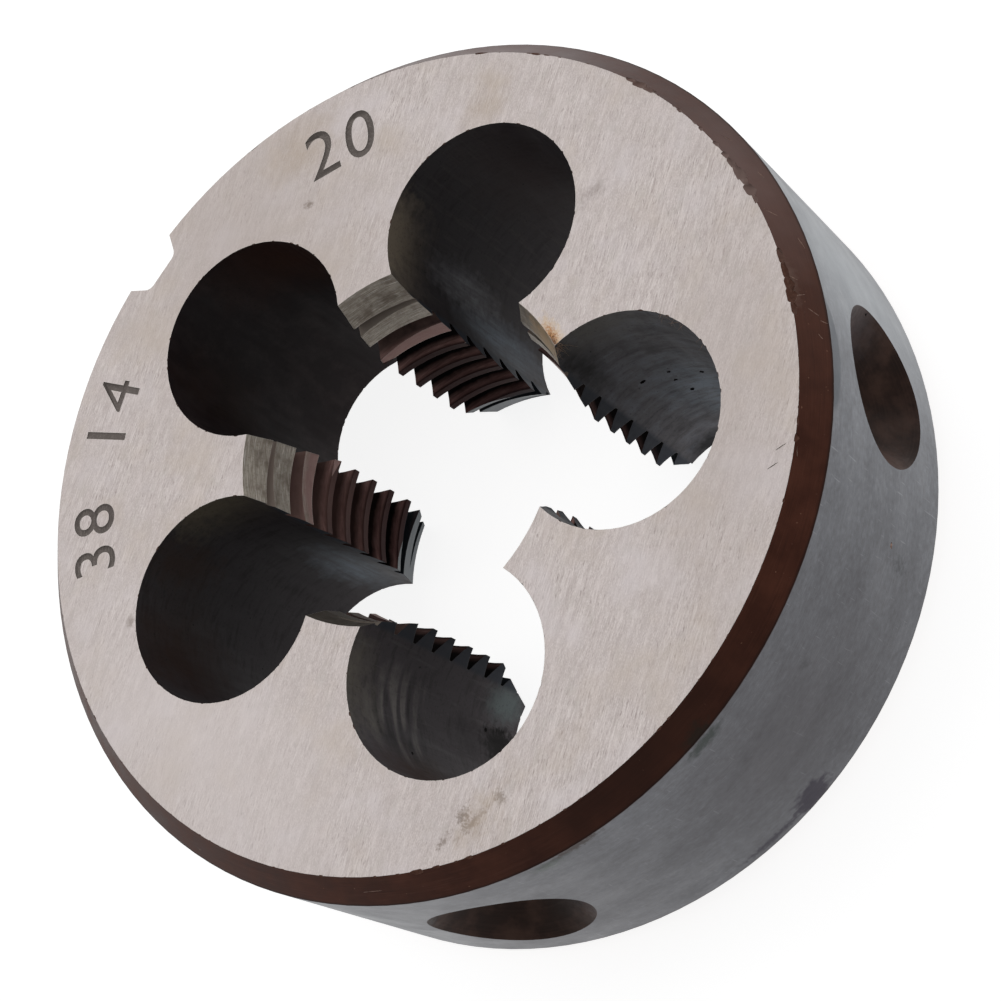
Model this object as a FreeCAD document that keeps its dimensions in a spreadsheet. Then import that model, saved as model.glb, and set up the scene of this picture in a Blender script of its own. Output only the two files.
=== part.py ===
import FreeCAD, Part
import math
import os

import Sketcher

# Round threading die, one solid of hardened tool steel.
# The Z axis is the thread axis, Z = 0 is the back face and +Z points out of the front face.
# The X and Y axes pass through the screw dimples of the rim.
# Lengths are in millimetres and angles in degrees.

PART_NAME = "die_body"
FOLDER = "parts"

# Driving dimensions: name, value and what it measures
SIZES = [
    ("outer_diameter", 38.0, "rim, held in a die stock"),
    ("thickness", 14.0, "from the back face to the front face"),
    ("rim_chamfer_width", 0.95, "radial width of the chamfer at both faces"),
    ("rim_chamfer_height", 1.15, "axial height of the same chamfer"),
    ("thread_diameter", 15.0, "major diameter of the thread"),
    ("thread_pitch", 1.5, "axial distance from tooth to tooth"),
    ("thread_angle", 60.0, "angle between the two flanks of a groove"),
    ("hole_count", 5, "clearance holes, and so cutting lands"),
    ("hole_diameter", 9.2, "clearance hole"),
    ("hole_circle_diameter", 20.4, "circle through the centres of the clearance holes"),
    ("mouth_diameter", 15.9, "bore at the front face"),
    ("mouth_depth", 1.2, "countersink between the front face and the throat"),
    ("mouth_angle", 48.0, "whole angle of the countersink"),
    ("throat_angle", 24.0, "whole angle of the throat's cone"),
    ("throat_relief", 0.6, "sideways shift of both cones, which gives a land its clearance"),
    ("exit_diameter", 15.5, "bore at the back face"),
    ("exit_angle", 40.0, "whole angle of the cone at the back face"),
    ("exit_relief", 1.0, "sideways shift of that cone, to the other side"),
    ("notch_direction", 135.0, "angle from the X axis to the middle of the notch"),
    ("notch_depth", 2.0, "from the rim to the floor of the notch"),
    ("notch_floor_width", 2.0, "between the sloping sides, before their rounds"),
    ("notch_angle", 60.0, "angle between the sides of the notch"),
    ("notch_corner_radius", 0.5, "round at each side of the floor"),
    ("dimple_count", 4, "conical seats for the screws of a die stock"),
    ("dimple_diameter", 7.5, "mouth of a dimple, measured along the thread axis"),
    ("dimple_angle", 90.0, "whole angle of a dimple's cone"),
    ("dimple_height", 6.75, "from the back face to a dimple's axis"),
]

# Sizes that follow from the driving dimensions, for the standard 60 degree profile
DERIVED = [
    ("groove_depth", "=0.625 * thread_pitch / (2 * tan(thread_angle / 2 * 1deg))", "five eighths of the V"),
    ("groove_floor", "=thread_pitch / 8", "flat at the bottom of a groove"),
    ("minor_diameter", "=thread_diameter - 2 * groove_depth", "bore between the tooth crests"),
    ("land_direction", "=notch_direction - 180 / hole_count", "middle of the first cutting land"),
]

# Lengths by which a cut reaches past the surface that it opens
OVERSHOOT = "1"
CREST_OVERSHOOT = "sizes.thread_pitch / 12"

# Two points closer than this in plan lie on the same upright edge
SAME_EDGE = 0.01


def make_sheet(doc):
    sheet = doc.addObject("Spreadsheet::Sheet", "sizes")
    for row, (alias, value, note) in enumerate(SIZES + DERIVED, start=1):
        sheet.set(f"A{row}", alias)
        sheet.set(f"B{row}", str(value))
        sheet.set(f"C{row}", note)
        sheet.setAlias(f"B{row}", alias)
    doc.recompute()
    return sheet


def origin_feature(body, role):
    return next(item for item in body.Origin.OriginFeatures if item.Role == role)


def make_sketch(body, name, plane, turn=None, offset=None):
    """Sketch on an origin plane of the body.

    turn is the expression of an angle about the thread axis, from the X axis.
    offset gives the expressions of the sketch origin in the plane's own axes."""
    sketch = body.newObject("Sketcher::SketchObject", name)
    sketch.AttachmentSupport = [(origin_feature(body, plane), "")]
    sketch.MapMode = "FlatFace"
    if turn:
        axis = FreeCAD.Vector(0, 1, 0) if plane == "XZ_Plane" else FreeCAD.Vector(0, 0, 1)
        sketch.AttachmentOffset = FreeCAD.Placement(FreeCAD.Vector(), FreeCAD.Rotation(axis, 1.0))
        sketch.setExpression("AttachmentOffset.Rotation.Angle", turn)
    for axis_name, text in (offset or {}).items():
        sketch.setExpression(f"AttachmentOffset.Base.{axis_name}", text)
    return sketch


def evaluate(item, text):
    value = item.evalExpression(text)
    return float(getattr(value, "Value", value))


def bind_distance(sketch, kind, corner, name, text):
    """Binds a corner's distance from a sketch axis. The text "0" puts it on that axis."""
    if text == "0":
        line = -2 if kind == "DistanceX" else -1
        sketch.addConstraint(Sketcher.Constraint("PointOnObject", corner, 1, line))
        return
    value = evaluate(sketch, text)
    number = sketch.addConstraint(Sketcher.Constraint(kind, -1, 1, corner, 1, value))
    sketch.renameConstraint(number, name)
    sketch.setExpression(f"Constraints.{name}", text)


def draw_outline(sketch, corners):
    """Closed outline of straight edges. A corner is its name, its X and its Y expression."""
    points = [FreeCAD.Vector(evaluate(sketch, x), evaluate(sketch, y), 0) for _, x, y in corners]
    count = len(points)
    for i in range(count):
        sketch.addGeometry(Part.LineSegment(points[i], points[(i + 1) % count]), False)
    for i in range(count):
        sketch.addConstraint(Sketcher.Constraint("Coincident", i, 2, (i + 1) % count, 1))
    for i, (name, x, y) in enumerate(corners):
        bind_distance(sketch, "DistanceX", i, f"{name}_x", x)
        bind_distance(sketch, "DistanceY", i, f"{name}_y", y)


def add_blank(body):
    """The turned blank: a ring with chamfered rim, bored to the minor diameter."""
    sketch = make_sketch(body, "ring_section", "XZ_Plane")
    bore = "sizes.minor_diameter / 2"
    rim = "sizes.outer_diameter / 2"
    face = f"{rim} - sizes.rim_chamfer_width"
    draw_outline(sketch, [
        ("back_bore", bore, "0"),
        ("back_face", face, "0"),
        ("back_rim", rim, "sizes.rim_chamfer_height"),
        ("front_rim", rim, "sizes.thickness - sizes.rim_chamfer_height"),
        ("front_face", face, "sizes.thickness"),
        ("front_bore", bore, "sizes.thickness"),
    ])
    blank = body.newObject("PartDesign::Revolution", "blank")
    blank.Profile = sketch
    blank.ReferenceAxis = (sketch, ["V_Axis"])
    blank.Angle = 360
    return blank


def add_thread(body):
    """Right-hand thread: one groove that winds from below the back face to above the front."""
    sketch = make_sketch(body, "groove_section", "XZ_Plane")
    inner = f"sizes.minor_diameter / 2 - {CREST_OVERSHOOT}"
    root = "sizes.thread_diameter / 2"
    middle = "-sizes.thread_pitch"
    half_floor = "sizes.groove_floor / 2"
    half_mouth = (
        f"({half_floor} + (sizes.groove_depth + {CREST_OVERSHOOT}) * tan(sizes.thread_angle / 2 * 1deg))"
    )
    draw_outline(sketch, [
        ("mouth_low", inner, f"{middle} - {half_mouth}"),
        ("floor_low", root, f"{middle} - {half_floor}"),
        ("floor_high", root, f"{middle} + {half_floor}"),
        ("mouth_high", inner, f"{middle} + {half_mouth}"),
    ])
    thread = body.newObject("PartDesign::SubtractiveHelix", "thread")
    thread.Profile = sketch
    thread.ReferenceAxis = (sketch, ["V_Axis"])
    thread.Mode = "pitch-height-angle"
    thread.LeftHanded = False
    thread.setExpression("Pitch", "sizes.thread_pitch")
    thread.setExpression("Height", "sizes.thickness + 2 * sizes.thread_pitch")
    return thread


def add_polar_pattern(body, name, feature, count):
    pattern = body.newObject("PartDesign::PolarPattern", name)
    pattern.Originals = [feature]
    pattern.Axis = (origin_feature(body, "Z_Axis"), [""])
    pattern.Angle = 360
    pattern.setExpression("Occurrences", count)
    body.Tip = pattern
    return pattern


def add_through_pocket(body, name, sketch):
    """Cut from the back face up through the front face."""
    pocket = body.newObject("PartDesign::Pocket", name)
    pocket.Profile = sketch
    pocket.Type = "ThroughAll"
    pocket.Reversed = True
    return pocket


def add_clearance_holes(body):
    """Holes around the bore that break into it. They leave the cutting lands between them."""
    sketch = make_sketch(body, "hole_circle", "XY_Plane", turn="sizes.notch_direction")
    radius = evaluate(sketch, "sizes.hole_diameter / 2")
    distance = evaluate(sketch, "sizes.hole_circle_diameter / 2")
    centre = FreeCAD.Vector(distance, 0, 0)
    sketch.addGeometry(Part.Circle(centre, FreeCAD.Vector(0, 0, 1), radius), False)
    sketch.addConstraint(Sketcher.Constraint("PointOnObject", 0, 3, -1))
    number = sketch.addConstraint(Sketcher.Constraint("DistanceX", -1, 1, 0, 3, distance))
    sketch.renameConstraint(number, "centre_x")
    sketch.setExpression("Constraints.centre_x", "sizes.hole_circle_diameter / 2")
    number = sketch.addConstraint(Sketcher.Constraint("Diameter", 0, 2 * radius))
    sketch.renameConstraint(number, "hole_size")
    sketch.setExpression("Constraints.hole_size", "sizes.hole_diameter")
    hole = add_through_pocket(body, "clearance_hole", sketch)
    return add_polar_pattern(body, "clearance_holes", hole, "sizes.hole_count")


def add_relieved_cones(body, name, relief, corners):
    """The same conical cut on each land. relief is the sideways shift of its axis, clockwise from
    the land seen from the front, so that the land's radius grows that way."""
    turn = "sizes.land_direction"
    shift = {
        "x": f"{relief} * sin(sizes.land_direction * 1deg)",
        "z": f"{relief} * cos(sizes.land_direction * 1deg)",
    }
    sketch = make_sketch(body, f"{name}_section", "XZ_Plane", turn=turn, offset=shift)
    draw_outline(sketch, corners)
    cone = body.newObject("PartDesign::Groove", name)
    cone.Profile = sketch
    cone.ReferenceAxis = (sketch, ["V_Axis"])
    cone.Midplane = True
    cone.setExpression("Angle", "360 / sizes.hole_count")
    return add_polar_pattern(body, f"{name}_cones", cone, "sizes.hole_count")


def add_throat(body):
    """Countersink and throat, whose radius grows from the cutting edge of a land to its heel."""
    mouth_slope = "tan(sizes.mouth_angle / 2 * 1deg)"
    throat_slope = "tan(sizes.throat_angle / 2 * 1deg)"
    mouth = "sizes.mouth_diameter / 2"
    knee = f"({mouth} - sizes.mouth_depth * {mouth_slope})"
    knee_height = "sizes.thickness - sizes.mouth_depth"
    return add_relieved_cones(body, "throat", "sizes.throat_relief", [
        ("tip", "0", f"{knee_height} - {knee} / {throat_slope}"),
        ("knee", knee, knee_height),
        ("mouth", f"{mouth} + {OVERSHOOT} * {mouth_slope}", f"sizes.thickness + {OVERSHOOT}"),
        ("top", "0", f"sizes.thickness + {OVERSHOOT}"),
    ])


def add_exit(body):
    """Cone that opens the bore at the back face, where the die cuts when it is turned over."""
    slope = "tan(sizes.exit_angle / 2 * 1deg)"
    radius = "sizes.exit_diameter / 2"
    return add_relieved_cones(body, "exit", "-sizes.exit_relief", [
        ("tip", "0", f"{radius} / {slope}"),
        ("bottom", "0", f"-{OVERSHOOT}"),
        ("mouth", f"{radius} + {OVERSHOOT} * {slope}", f"-{OVERSHOOT}"),
    ])


def add_notch(body):
    """Adjusting notch: a groove down the rim with a flat floor and sloping sides."""
    sketch = make_sketch(body, "notch_section", "XY_Plane", turn="sizes.notch_direction")
    floor = "sizes.outer_diameter / 2 - sizes.notch_depth"
    outside = f"sizes.outer_diameter / 2 + {OVERSHOOT}"
    half_floor = "sizes.notch_floor_width / 2"
    half_mouth = (
        f"({half_floor} + (sizes.notch_depth + {OVERSHOOT}) * tan(sizes.notch_angle / 2 * 1deg))"
    )
    draw_outline(sketch, [
        ("floor_right", floor, f"-{half_floor}"),
        ("mouth_right", outside, f"-{half_mouth}"),
        ("mouth_left", outside, half_mouth),
        ("floor_left", floor, half_floor),
    ])
    return add_through_pocket(body, "notch", sketch)


def round_notch(body):
    """Rounds the two long corners between the floor and the sides of the notch."""
    notch = body.Document.getObject("notch")
    radius = evaluate(notch, "sizes.outer_diameter / 2 - sizes.notch_depth")
    half_floor = evaluate(notch, "sizes.notch_floor_width / 2")
    turn = FreeCAD.Rotation(FreeCAD.Vector(0, 0, 1), evaluate(notch, "sizes.notch_direction"))
    corners = [turn.multVec(FreeCAD.Vector(radius, side * half_floor, 0)) for side in (-1, 1)]
    names = []
    for index, edge in enumerate(notch.Shape.Edges, start=1):
        ends = [vertex.Point for vertex in edge.Vertexes]
        for corner in corners:
            near = [math.hypot(end.x - corner.x, end.y - corner.y) < SAME_EDGE for end in ends]
            if len(ends) == 2 and all(near):
                names.append(f"Edge{index}")
    rounds = body.newObject("PartDesign::Fillet", "notch_corners")
    rounds.Base = (notch, names)
    rounds.setExpression("Radius", "sizes.notch_corner_radius")
    return rounds


def add_dimples(body):
    """Conical screw seats around the rim, with level axes that meet the thread axis."""
    lift = {"y": "sizes.dimple_height"}
    sketch = make_sketch(body, "dimple_section", "XZ_Plane", offset=lift)
    slope = "tan(sizes.dimple_angle / 2 * 1deg)"
    rim = "sizes.outer_diameter / 2"
    draw_outline(sketch, [
        ("tip", f"{rim} - sizes.dimple_diameter / 2 / {slope}", "0"),
        ("centre", f"{rim} + {OVERSHOOT}", "0"),
        ("mouth", f"{rim} + {OVERSHOOT}", f"sizes.dimple_diameter / 2 + {OVERSHOOT} * {slope}"),
    ])
    dimple = body.newObject("PartDesign::Groove", "dimple")
    dimple.Profile = sketch
    dimple.ReferenceAxis = (sketch, ["H_Axis"])
    dimple.Angle = 360
    return add_polar_pattern(body, "dimples", dimple, "sizes.dimple_count")


def check_shape(item):
    """Stops the build on a feature that failed or left no single valid solid."""
    if "Invalid" in item.State or "Error" in item.State:
        raise RuntimeError(f"{item.Label} failed: {item.getStatusString()}")
    shape = item.Shape
    if shape.isNull() or not shape.isValid() or len(shape.Solids) != 1:
        raise RuntimeError(f"{item.Label} is not one valid solid")


# Cuts in the order in which they are made, with the thread last
CUTS = (add_clearance_holes, add_throat, add_exit, add_notch, round_notch, add_dimples, add_thread)


def make_die(doc):
    """One body: the blank and then its cuts, each of which has to leave one valid solid."""
    body = doc.addObject("PartDesign::Body", PART_NAME)
    body.Label = PART_NAME
    body.Placement = FreeCAD.Placement()
    doc.recompute()
    feature = add_blank(body)
    doc.recompute()
    check_shape(feature)
    for cut in CUTS:
        before = feature.Shape.Volume
        feature = cut(body)
        doc.recompute()
        check_shape(feature)
        removed = before - feature.Shape.Volume
        if cut is not round_notch and removed <= 0:
            raise RuntimeError(f"{feature.Label} cut nothing")
        print(f"{feature.Label}: {removed:.2f} mm3 removed")
    body.Tip = feature
    return body


def main():
    doc = FreeCAD.newDocument("threading_die")
    make_sheet(doc)
    body = make_die(doc)
    doc.recompute()
    for item in doc.Objects:
        if "Invalid" in item.State or "Error" in item.State:
            raise RuntimeError(f"{item.Label} failed: {item.getStatusString()}")
    check_shape(body)
    os.makedirs(FOLDER, exist_ok=True)
    body.Shape.exportStep(os.path.join(FOLDER, f"{body.Label}.step"))
    print(f"{body.Label}: {body.Shape.Volume:.2f} mm3, {len(body.Shape.Faces)} faces")


main()
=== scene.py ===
import math
import random

import bmesh
import bpy
from mathutils import Matrix, Vector


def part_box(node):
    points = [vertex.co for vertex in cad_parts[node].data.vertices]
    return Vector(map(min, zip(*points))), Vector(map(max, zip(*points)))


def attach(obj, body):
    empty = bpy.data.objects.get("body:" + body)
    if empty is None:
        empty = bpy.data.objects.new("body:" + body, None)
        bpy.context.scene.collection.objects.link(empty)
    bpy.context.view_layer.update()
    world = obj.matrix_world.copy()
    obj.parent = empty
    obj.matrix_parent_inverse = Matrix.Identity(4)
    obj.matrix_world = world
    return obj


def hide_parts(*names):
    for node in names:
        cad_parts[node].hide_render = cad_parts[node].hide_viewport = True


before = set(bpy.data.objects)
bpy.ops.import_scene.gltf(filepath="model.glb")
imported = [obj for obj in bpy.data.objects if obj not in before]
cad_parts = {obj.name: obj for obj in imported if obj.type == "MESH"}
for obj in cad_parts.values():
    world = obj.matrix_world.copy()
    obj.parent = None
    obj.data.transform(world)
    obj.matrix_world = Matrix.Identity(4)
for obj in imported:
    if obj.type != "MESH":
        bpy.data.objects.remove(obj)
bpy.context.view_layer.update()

# Lengths are in metres and angles in degrees unless a name says otherwise. Inside the materials
# lengths are in millimetres.
# The die lies on its back face, with its thread axis on Z and its front face up.
MM = 0.001
NODE = "die_body"

# Sizes of the die that the frame gives
_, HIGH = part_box(NODE)
TOP = HIGH.z
RIM_RADIUS = HIGH.x

# Sizes of the die that follow the standard blank
CHAMFER_WIDTH = 0.95 * MM
CHAMFER_HEIGHT = 1.15 * MM
HOLE_CIRCLE_RADIUS = 10.2 * MM
HOLE_RADIUS = 4.6 * MM
HOLES = 5
HOLE_DIRECTIONS = [63.0 + 360.0 / HOLES * i for i in range(HOLES)]
TOP_HOLE, _, LOW_LEFT_HOLE, BOTTOM_HOLE, RIGHT_HOLE = HOLE_DIRECTIONS
LAND_DIRECTIONS = [99.0 + 360.0 / HOLES * i for i in range(HOLES)]
THROAT_RELIEF = 0.6 * MM
EXIT_RELIEF = -1.0 * MM
THROAT_FOOT = 8.6 * MM
BORE_MOUTH_RADIUS = 8.3 * MM
EXIT_TOP = 3.8 * MM
NOTCH_DIRECTION = 135.0
NOTCH_HALF_WIDTH = 3.0 * MM
DIMPLE_DIRECTIONS = [0.0, 90.0, 180.0, 270.0]
DIMPLE_INNER_RADIUS = 15.0 * MM
DIMPLE_HEIGHT = 6.75 * MM
FACE_EDGE_RADIUS = RIM_RADIUS - CHAMFER_WIDTH
CHAMFER_LEAN = math.degrees(math.atan2(CHAMFER_WIDTH, CHAMFER_HEIGHT))

# The same sizes in millimetres, for the materials
FACE_MM = TOP / MM
RIM_MM = RIM_RADIUS / MM
MIDDLE_MM = FACE_MM / 2
HOLE_CIRCLE_MM = HOLE_CIRCLE_RADIUS / MM
HOLE_MM = HOLE_RADIUS / MM

# Direction in which the front and back faces were ground
GRAIN_DIRECTION = 65.5

# Rounding that every edge seems to have, in millimetres
EDGE_ROUND_MM = 0.04

# Vertices closer than this are joined, in the solid and the digits, and in the skin after the cut
WELD = 0.0001 * MM
FINE_WELD = 0.00001 * MM

WHITE_LEVEL = 255.0


def tone(red, green, blue):
    """A colour given as on a screen, from 0 to 255, turned into the shader's linear values."""
    def linear(value):
        share = value / WHITE_LEVEL
        return share / 12.92 if share <= 0.04045 else ((share + 0.055) / 1.055) ** 2.4
    return (linear(red), linear(green), linear(blue), 1.0)


def around(radius, direction, height=0.0):
    """The point at a radius and a direction about the thread axis."""
    angle = math.radians(direction)
    return Vector((radius * math.cos(angle), radius * math.sin(angle), height))


class Graph:
    """The node graph of one material. Its lengths are in millimetres."""

    def __init__(self, name, colour=None):
        self.material = bpy.data.materials.new(name)
        self.material.use_nodes = True
        self.tree = self.material.node_tree
        self.shader = self.tree.nodes["Principled BSDF"]
        self.colour = colour
        self.where = None

    def wire(self, socket, value):
        """Links a value that comes from a node, and sets a plain one."""
        if isinstance(value, bpy.types.NodeSocket):
            self.tree.links.new(value, socket)
        else:
            socket.default_value = value

    def add(self, kind, inputs, **settings):
        """A new node of a kind, with its settings set and its inputs wired."""
        node = self.tree.nodes.new(kind)
        for name, value in settings.items():
            setattr(node, name, value)
        for name, value in inputs.items():
            self.wire(node.inputs[name], value)
        return node

    def place(self):
        """Place on the object, in millimetres."""
        if self.where is None:
            metres = self.add("ShaderNodeTexCoord", {}).outputs["Object"]
            scaled = self.add("ShaderNodeVectorMath", {"Scale": 1.0 / MM}, operation="SCALE")
            self.wire(scaled.inputs[0], metres)
            self.where = scaled.outputs[0]
        return self.where

    def stretch(self, length, width, height, turn=0.0, centre=(0.0, 0.0, 0.0)):
        """Place seen from a centre, turned about Z and measured in the given lengths."""
        inputs = {
            "Vector": self.place(),
            "Location": tuple(centre),
            "Rotation": (0.0, 0.0, math.radians(turn)),
            "Scale": (length, width, height),
        }
        return self.add("ShaderNodeMapping", inputs, vector_type="TEXTURE").outputs[0]

    def noise(self, vector, detail, roughness):
        """Cloudy pattern from 0 to 1. detail counts its finer layers and roughness is their share."""
        inputs = {"Vector": vector, "Scale": 1.0, "Detail": detail, "Roughness": roughness}
        return self.add("ShaderNodeTexNoise", inputs).outputs[0]

    def ramp(self, value, low, high, start=0.0, end=1.0):
        """Value carried from the range low to high onto start to end, and held there."""
        inputs = {"Value": value, "From Min": low, "From Max": high, "To Min": start, "To Max": end}
        return self.add("ShaderNodeMapRange", inputs).outputs[0]

    def sum(self, kind, first, second):
        """One sum on two numbers. kind is Blender's name for it."""
        node = self.add("ShaderNodeMath", {}, operation=kind)
        self.wire(node.inputs[0], first)
        self.wire(node.inputs[1], second)
        return node.outputs[0]

    def times(self, first, second):
        """Product of two numbers, or the share where two patterns meet."""
        return self.sum("MULTIPLY", first, second)

    def length(self, vector):
        """Length of a vector."""
        node = self.add("ShaderNodeVectorMath", {}, operation="LENGTH")
        self.wire(node.inputs[0], vector)
        return node.outputs["Value"]

    def split(self, vector, axis):
        """One part of a vector, by the letter of its axis."""
        return self.add("ShaderNodeSeparateXYZ", {"Vector": vector}).outputs[axis]

    def height(self):
        """Height above the back face."""
        return self.split(self.place(), "Z")

    def from_middle(self):
        """Distance from the plane halfway between the two faces."""
        return self.sum("ABSOLUTE", self.sum("SUBTRACT", self.height(), MIDDLE_MM), 0.0)

    def axis_distance(self):
        """Distance from the thread axis."""
        flat = self.add("ShaderNodeVectorMath", {}, operation="MULTIPLY")
        self.wire(flat.inputs[0], self.place())
        flat.inputs[1].default_value = (1.0, 1.0, 0.0)
        return self.length(flat.outputs[0])

    def spot(self, centre, size, turn=0.0, ragged=0.4, soft=0.7, fineness=0.4):
        """1 inside an uneven patch and 0 outside it. size gives its half lengths.

        ragged is how far its outline strays and soft how wide it fades, both as shares of the size,
        and fineness is the length of what strays.
        """
        reach = self.length(self.stretch(*size, turn, centre))
        wander = self.noise(self.stretch(fineness, fineness, fineness), 2.0, 0.6)
        uneven = self.sum("MULTIPLY_ADD", wander, 2.0 * ragged)
        uneven.node.inputs[2].default_value = -ragged
        return self.ramp(self.sum("ADD", reach, uneven), 1.0 - soft, 1.0, 1.0, 0.0)

    def edge(self, radius):
        """1 on the edges of the body and 0 on its flats."""
        rounded = self.add("ShaderNodeBevel", {"Radius": radius * MM}, samples=6).outputs[0]
        true = self.add("ShaderNodeNewGeometry", {}).outputs["Normal"]
        match = self.add("ShaderNodeVectorMath", {}, operation="DOT_PRODUCT")
        self.wire(match.inputs[0], rounded)
        self.wire(match.inputs[1], true)
        return self.ramp(match.outputs["Value"], 0.99, 0.86)

    def paint(self, share, colour, most=1.0):
        """Lays a colour over the present one, by a share that is scaled by most."""
        if most != 1.0:
            share = self.times(share, most)
        # Inputs 0, 6 and 7 of a mix are the share and the two colours, and output 2 is the mixed colour
        node = self.add("ShaderNodeMix", {}, data_type="RGBA")
        self.wire(node.inputs[0], share)
        self.wire(node.inputs[6], self.colour)
        self.wire(node.inputs[7], colour)
        self.colour = node.outputs[2]

    def stain(self, patches):
        """Paints uneven patches. Each row has all that spot takes, and then a colour and a share."""
        for *patch, colour, most in patches:
            self.paint(self.spot(*patch), colour, most)

    def finish(self, roughness, relief, depth, metallic, gloss=0.5):
        """Sets the shader. relief is a pattern from 0 to 1 and depth its height."""
        self.wire(self.shader.inputs["Base Color"], self.colour)
        self.wire(self.shader.inputs["Roughness"], roughness)
        self.shader.inputs["Metallic"].default_value = metallic
        self.shader.inputs["Specular IOR Level"].default_value = gloss
        rounded = self.add("ShaderNodeBevel", {"Radius": EDGE_ROUND_MM * MM}, samples=4)
        inputs = {"Height": relief, "Distance": depth * MM, "Normal": rounded.outputs[0]}
        bump = self.add("ShaderNodeBump", inputs)
        self.wire(self.shader.inputs["Normal"], bump.outputs[0])
        return self.material


def ground_face():
    """Front and back faces: warm light grey, ground in short straight lines, faintly stained, with a
    painted highlight along their edges.
    """
    g = Graph("ground_face", tone(174, 165, 162))
    fine = g.noise(g.stretch(0.35, 0.035, 1.0, GRAIN_DIRECTION), 2.0, 0.6)
    streak = g.noise(g.stretch(0.9, 0.08, 1.0, GRAIN_DIRECTION + 2.0, (3.0, 1.0, 0.0)), 3.0, 0.65)
    broad = g.noise(g.stretch(1.7, 0.28, 1.0, GRAIN_DIRECTION - 1.0, (1.0, 9.0, 0.0)), 3.0, 0.6)
    fleck = g.noise(g.stretch(0.4, 0.06, 1.0, GRAIN_DIRECTION + 4.0, (7.0, 2.0, 0.0)), 1.0, 0.5)
    speck = g.noise(g.stretch(0.09, 0.06, 1.0, GRAIN_DIRECTION, (4.0, 2.0, 0.0)), 2.0, 0.7)
    cloud = g.noise(g.stretch(3.6, 3.6, 3.6, 0.0, (5.0, 4.0, 0.0)), 3.0, 0.6)
    mottle = g.noise(g.stretch(0.9, 0.6, 1.0, GRAIN_DIRECTION, (9.0, 3.0, 0.0)), 3.0, 0.6)
    patchy = g.noise(g.stretch(2.5, 2.5, 2.5, 0.0, (2.0, 8.0, 0.0)), 2.0, 0.5)
    busy = g.ramp(patchy, 0.38, 0.62, 0.2, 1.0)
    g.paint(g.ramp(fine, 0.5, 0.3), tone(154, 145, 143), 0.5)
    g.paint(g.ramp(fine, 0.5, 0.7), tone(204, 196, 193), 0.5)
    g.paint(g.ramp(speck, 0.5, 0.3), tone(148, 139, 137), 0.4)
    g.paint(g.ramp(speck, 0.5, 0.7), tone(206, 199, 197), 0.4)
    g.paint(g.times(g.ramp(streak, 0.5, 0.66), busy), tone(214, 207, 204), 0.55)
    g.paint(g.times(g.ramp(streak, 0.48, 0.32), busy), tone(140, 130, 128), 0.55)
    g.paint(g.ramp(broad, 0.52, 0.7), tone(200, 192, 189), 0.4)
    g.paint(g.ramp(broad, 0.46, 0.3), tone(156, 147, 144), 0.4)
    g.paint(g.times(g.ramp(fleck, 0.62, 0.72), busy), tone(114, 103, 100), 0.65)
    g.paint(g.ramp(mottle, 0.54, 0.7), tone(164, 158, 152), 0.35)
    g.paint(g.ramp(mottle, 0.44, 0.3), tone(188, 178, 176), 0.35)
    g.paint(g.ramp(cloud, 0.52, 0.72), tone(172, 160, 148), 0.45)
    g.paint(g.ramp(cloud, 0.46, 0.3), tone(188, 181, 182), 0.5)
    stain_face(g)
    # Painted highlight along the edges of the faces.
    g.paint(g.edge(0.05), tone(222, 216, 210), 0.7)
    return g.finish(g.ramp(streak, 0.3, 0.7, 0.38, 0.52), fine, 0.005, 1.0)


def stain_face(g):
    """Stains, smears and a rust bloom where the front face has them."""
    tan = tone(150, 134, 114)
    dull = tone(160, 150, 145)
    smear = tone(104, 92, 82)
    bloom = around(8.1, 20.5, FACE_MM)
    g.stain([
        (around(15.0, 225.0, FACE_MM), (6.0, 14.0, 3.0), 225.0, 0.2, 1.0, 2.5, tone(190, 182, 180), 0.6),
        (around(13.5, 122.0, FACE_MM), (9.0, 13.0, 3.0), 32.0, 0.2, 1.0, 2.5, dull, 0.6),
        (around(15.0, 350.0, FACE_MM), (4.0, 13.0, 3.0), 350.0, 0.2, 1.0, 2.5, dull, 0.45),
        (around(16.3, 105.0, FACE_MM), (2.6, 1.8, 0.5), 30.0, 0.6, 1.0, 0.8, tan, 0.4),
        (around(15.6, 70.0, FACE_MM), (2.2, 1.2, 0.5), 60.0, 0.6, 1.0, 0.8, tan, 0.35),
        (around(13.4, 107.0, FACE_MM), (0.3, 0.25, 0.5), 0.0, 0.9, 0.8, 0.12, tone(92, 78, 66), 0.6),
        (around(13.3, 41.0, FACE_MM), (0.8, 0.45, 0.5), 20.0, 1.0, 0.9, 0.2, tone(120, 110, 106), 0.4),
        (around(16.4, 277.3, FACE_MM), (0.45, 0.35, 0.5), 60.0, 1.3, 0.8, 0.13, smear, 0.7),
        (around(16.25, 283.3, FACE_MM), (0.3, 0.4, 0.5), 40.0, 1.3, 0.8, 0.13, smear, 0.55),
        (around(16.8, 278.5, FACE_MM), (0.9, 0.22, 0.5), 35.0, 1.3, 0.8, 0.13, smear, 0.6),
        (around(17.1, 274.0, FACE_MM), (0.5, 0.18, 0.5), 40.0, 1.3, 0.8, 0.13, smear, 0.6),
        (around(16.6, 280.0, FACE_MM), (1.8, 0.9, 0.5), 45.0, 0.8, 1.0, 0.5, tan, 0.4),
        (around(14.7, 198.1, FACE_MM), (0.3, 0.35, 0.5), 0.0, 0.9, 0.8, 0.2, smear, 0.5),
        (bloom, (1.3, 0.6, 0.6), 115.0, 0.8, 1.0, 0.25, tone(184, 158, 118), 0.7),
        (bloom, (0.7, 0.3, 0.6), 115.0, 1.4, 0.7, 0.1, tone(150, 100, 52), 0.7),
        (around(8.0, 18.0, FACE_MM), (0.5, 0.2, 0.6), 100.0, 1.8, 0.4, 0.07, tone(70, 44, 28), 0.8),
    ])


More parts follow.
